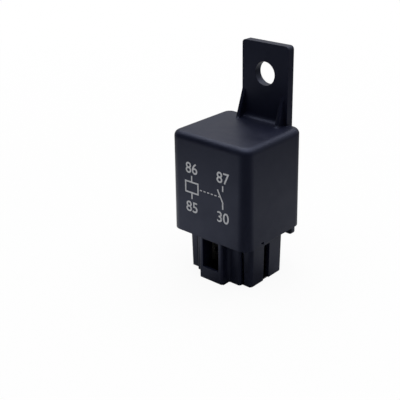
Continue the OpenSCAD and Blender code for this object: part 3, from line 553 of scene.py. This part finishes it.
# The braid's middle is a cubic curve with the four points of bow. Each strand is a helix round it whose
# radius swings in and out as it passes its neighbours, and closes in at the welds.
t = np.linspace(0, 1, braid_steps)[:, None]
line = (1 - t) ** 3 * bow[0] + 3 * (1 - t) ** 2 * t * bow[1] + 3 * (1 - t) * t ** 2 * bow[2] + t ** 3 * bow[3]
way = np.gradient(line, axis=0)
way /= np.linalg.norm(way, axis=1, keepdims=True)
across = np.array([0.0, 1.0, 0.0])
normal = np.cross(way, across)
pinch = np.clip(np.minimum(t, 1 - t) / weld_part, weld_squeeze, 1)
braid_points, braid_faces = np.empty((0, 3)), []
for direction in (1, -1):
    for strand in range(strands):
        phase = 2 * np.pi * strand / strands
        turn = direction * 2 * np.pi * winds * t + phase
        weave = weave_r * direction * np.cos(strands * winds * 2 * np.pi * t + phase * strands / 2)
        offset = (braid_r + weave) * pinch * (np.cos(turn) * across + np.sin(turn) * normal)
        points, faces = sweep(line + offset, strand_r, strand_sides, first=len(braid_points))
        braid_faces += faces
        braid_points = np.concatenate([braid_points, points])

copper = Finish("bare_copper")
place = copper.place()
fine = copper.noise(place, 8000.0, 2.0)
bare_copper = copper.surface({
    "Base Color": copper.mix(copper.noise(place, 700.0, 4.0), copper_dark, copper_light),
    "Roughness": copper.ramp(fine, 0.0, 1.0, 0.28, 0.48),
    "Normal": copper.bump(fine, 0.4, 0.004 * mm),
    "Metallic": 1.0,
})
braid = piece("braid_strands", braid_points, braid_faces, bare_copper, None, "braid")
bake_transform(braid)


# ---- Suppression resistor ----
# Film resistor across the coil: a ceramic rod under a pale blue lacquer with four plain bands
# that give its value. Its tinned copper wires are bent and soldered to the coil's two posts.

resistor_low, resistor_high = 17.5, 24.0
pale, dark = (0.30, 0.47, 0.55, 1), (0.05, 0.03, 0.02, 1)
red, gold = (0.45, 0.04, 0.03, 1), (0.45, 0.30, 0.08, 1)
bands = ((0.13, 0.21, gold), (0.42, 0.49, red), (0.57, 0.64, dark), (0.78, 0.86, dark))

lacquer = Finish("resistor_lacquer")
place = lacquer.place()
height = lacquer.add("SeparateXYZ", {"Vector": place}).outputs["Z"]
along = lacquer.ramp(height, resistor_low * mm, resistor_high * mm, 0.0, 1.0)
banded = lacquer.add("ValToRGB", {"Fac": along})
banded.color_ramp.interpolation = "CONSTANT"
stops = banded.color_ramp.elements
last_band_end = bands[-1][1]
stops[0].color = pale
stops[1].position = last_band_end
stops[1].color = pale
for low, high, colour in bands:
    stops.new(low).color = colour
    if high < last_band_end:
        stops.new(high).color = pale
cloud = lacquer.noise(place, 1500.0, 3.0)
dress("suppression_resistor", lacquer.surface({
    "Base Color": lacquer.scale(banded.outputs["Color"], lacquer.ramp(cloud, 0.0, 1.0, 0.85, 1.15)),
    "Roughness": lacquer.ramp(cloud, 0.0, 1.0, 0.22, 0.36),
    "Normal": lacquer.bump(cloud, 0.5, 0.02 * mm),
}))
dress("resistor_leads", sheet_metal("tinned_wire", (0.66, 0.67, 0.68), (0.60, 0.61, 0.62), 0.30,
                                    (2800.0, 2800.0, 2800.0)))


# ---- Table ----
# A pale table that looks plain white, with the relay's own soft shadow. The relay's gloss mirrors
# less of it: that fades far out, at the back right, and at the front right, as if a dark card stood
# there, and close to the plug's foot, where the fade is a painted shadow of the relay. Inside the
# plug's rim the table is painted near-black and gives no glow: painted shade.

table_half = 1500.0
rim_x, rim_y = (-9.4, 11.2), (-8.2, 4.9)
tongue_x, tongue_front = (-6.5, 8.3), -8.9
latch_x, latch_front = (-2.5, 4.9), -11.7
pale_grey, unlit_grey = (0.8, 0.8, 0.8, 1), (0.012, 0.012, 0.014, 1)
card_side, card_from, card_to, card_share = 48.0, 0.35, 0.85, 0.10
back_right, back_right_from, back_right_to, back_right_share = 141.0, 0.3, 0.85, 0.46
out_from, out_to, out_share = 80 * mm, 125 * mm, 0.1
foot_from, foot_to, foot_left, foot_right = 16 * mm, 36 * mm, 0.3, 0.85
clear_from, clear_to, clear_share = 100 * mm, 300 * mm, 0.92

# A grid whose lines follow the plug's outline, so that each face lies wholly inside or outside it.
xs = np.array([-table_half, rim_x[0], tongue_x[0], latch_x[0], latch_x[1], tongue_x[1], rim_x[1], table_half])
ys = np.array([-table_half, latch_front, tongue_front, rim_y[0], rim_y[1], table_half])
gx, gy = np.meshgrid(xs, ys, indexing="ij")
i, j = np.meshgrid(np.arange(len(xs) - 1), np.arange(len(ys) - 1), indexing="ij")
a = (i * len(ys) + j).ravel()
floor_faces = np.column_stack([a, a + len(ys), a + len(ys) + 1, a + 1])
mid_x, mid_y = (xs[i] + xs[i + 1]).ravel() / 2, (ys[j] + ys[j + 1]).ravel() / 2
# The faces inside the plug's outline, which get the near-black finish of painted shade.
shaded = ((mid_x > rim_x[0]) & (mid_x < rim_x[1]) & (mid_y > rim_y[0]) & (mid_y < rim_y[1])
          | (mid_x > tongue_x[0]) & (mid_x < tongue_x[1]) & (mid_y > tongue_front) & (mid_y < rim_y[0])
          | (mid_x > latch_x[0]) & (mid_x < latch_x[1]) & (mid_y > latch_front) & (mid_y < tongue_front))
floor_mesh = bpy.data.meshes.new("floor")
floor_mesh.from_pydata((np.column_stack([gx.ravel(), gy.ravel(), 0 * gx.ravel()]) * mm).tolist(), [],
                       floor_faces.tolist())
floor_mesh.polygons.foreach_set("material_index", shaded.astype(np.int32))
put("floor", floor_mesh)


def toward(azimuth, elevation=0.0):
    """The direction from the relay at an azimuth, 0 in front and 90 to the right, and an elevation, in
    degrees."""
    a, e = math.radians(azimuth), math.radians(elevation)
    return Vector((math.sin(a) * math.cos(e), -math.cos(a) * math.cos(e), math.sin(e)))


def rays(finish):
    """Two switches: 1 for what is seen straight or through something clear, and 1 for what is mirrored."""
    kinds = finish.add("LightPath", {}).outputs
    seen = finish.reckon("MAXIMUM", kinds["Is Camera Ray"], kinds["Is Transmission Ray"])
    return seen, kinds["Is Glossy Ray"]


table = Finish("floor_white")
matt = table.fill(table.nodes["Principled BSDF"], {"Base Color": pale_grey, "Roughness": 0.9,
                                                   "Specular IOR Level": 0.0}).outputs[0]
place = table.place()
distance = table.add("VectorMath", {0: place}, operation="LENGTH").outputs["Value"]


def bearing(azimuth):
    """Where a point of the table lies to an azimuth: 1 on it, 0 at a right angle, -1 opposite."""
    along = table.add("VectorMath", {0: place, 1: toward(azimuth)}, operation="DOT_PRODUCT")
    return table.reckon("DIVIDE", along.outputs["Value"], distance)


to_back_right = bearing(back_right)
# Near the plug's foot the glow in the relay's gloss is dimmed, most to the front left: a painted shadow of
# the relay on the table.
painted_foot_shadow = table.ramp(to_back_right, -1.0, 1.0, foot_left, foot_right)
mirrored_white = table.ramp(bearing(card_side), card_from, card_to, 1.0, card_share, smooth=True)
for fade in (table.ramp(distance, out_from, out_to, 1.0, out_share, smooth=True),
             table.ramp(to_back_right, back_right_from, back_right_to, 1.0, back_right_share, smooth=True),
             table.ramp(distance, foot_from, foot_to, painted_foot_shadow, 1.0, smooth=True)):
    mirrored_white = table.reckon("MULTIPLY", mirrored_white, fade)
seen, mirrored = rays(table)
white = table.reckon("MAXIMUM", seen, mirrored_white)
glow = table.add("Emission", {"Color": (1, 1, 1, 1), "Strength": white})
glow_share = table.reckon("MULTIPLY", table.reckon("MAXIMUM", seen, mirrored),
                          table.ramp(distance, clear_from, clear_to, clear_share, 1.0))
lit = table.add("MixShader", {0: glow_share, 1: matt, 2: glow.outputs[0]})
table.fill(table.nodes["Material Output"], {"Surface": lit.outputs[0]})
floor_mesh.materials.append(table.owner)
# Near-black finish without glow for the faces inside the plug's rim: painted shade.
floor_mesh.materials.append(Finish("floor_shade").surface({"Base Color": unlit_grey, "Roughness": 1.0,
                                                           "Specular IOR Level": 0.0}))


# ---- Room ----
# The room looks white all round. In the relay's gloss it is dark in front and pale behind, and as
# light it is weak and even. One square softbox hangs over the relay, a little behind it.

front_side, back_from, back_to = 20.0, -0.2, 0.6
front_glow, back_glow, even_glow = 0.0, 0.42, 0.2
box_azimuth, box_elevation, box_distance = 190, 81, 0.6
box_width, box_power, aim_height = 0.92, 6.3, 30 * mm

room = Finish("studio", bpy.data.worlds)
sky = room.add("TexCoord", {}).outputs["Generated"]
behind = room.add("VectorMath", {0: sky, 1: -toward(front_side)}, operation="DOT_PRODUCT").outputs["Value"]
mirrored_room = room.ramp(behind, back_from, back_to, front_glow, back_glow, smooth=True)
seen, mirrored = rays(room)
strength = room.reckon("MAXIMUM", seen, room.ramp(mirrored, 0.0, 1.0, even_glow, mirrored_room))
room.fill(room.nodes["Background"], {"Color": (1, 1, 1, 1), "Strength": strength})
bpy.context.scene.world = room.owner

way = toward(box_azimuth, box_elevation)
lamp = bpy.data.lights.new("overhead", "AREA")
lamp.size = box_width
lamp.energy = box_power
softbox = put("overhead", lamp)
softbox.location = way * box_distance + Vector((0, 0, aim_height))
softbox.rotation_mode = "QUATERNION"
softbox.rotation_quaternion = way.to_track_quat("Z", "Y")
softbox.visible_camera = False


# ---- Camera ----
# It stands at the front right, a little above the relay, and looks down on it. The lens is shifted,
# so the relay stands to the right of the middle.

lens, sensor, shift_x, shift_y = 73.12, 36.0, -0.0941, -0.0579
camera_x, camera_y, camera_z = 0.12891, -0.15661, 0.11145
azimuth, elevation = 39.41, 22.70
view_near, view_far = 0.01, 10.0

lens_data = bpy.data.cameras.new("camera")
lens_data.lens = lens
lens_data.sensor_width = sensor
lens_data.shift_x = shift_x
lens_data.shift_y = shift_y
lens_data.clip_start = view_near
lens_data.clip_end = view_far
camera = put("camera", lens_data)
back, right = toward(azimuth, elevation), toward(azimuth + 90)
up = back.cross(right)
camera.matrix_world = Matrix((
    (right.x, up.x, back.x, camera_x),
    (right.y, up.y, back.y, camera_y),
    (right.z, up.z, back.z, camera_z),
    (0, 0, 0, 1)))
bpy.context.scene.camera = camera
bpy.context.scene.view_settings.view_transform = "Standard"
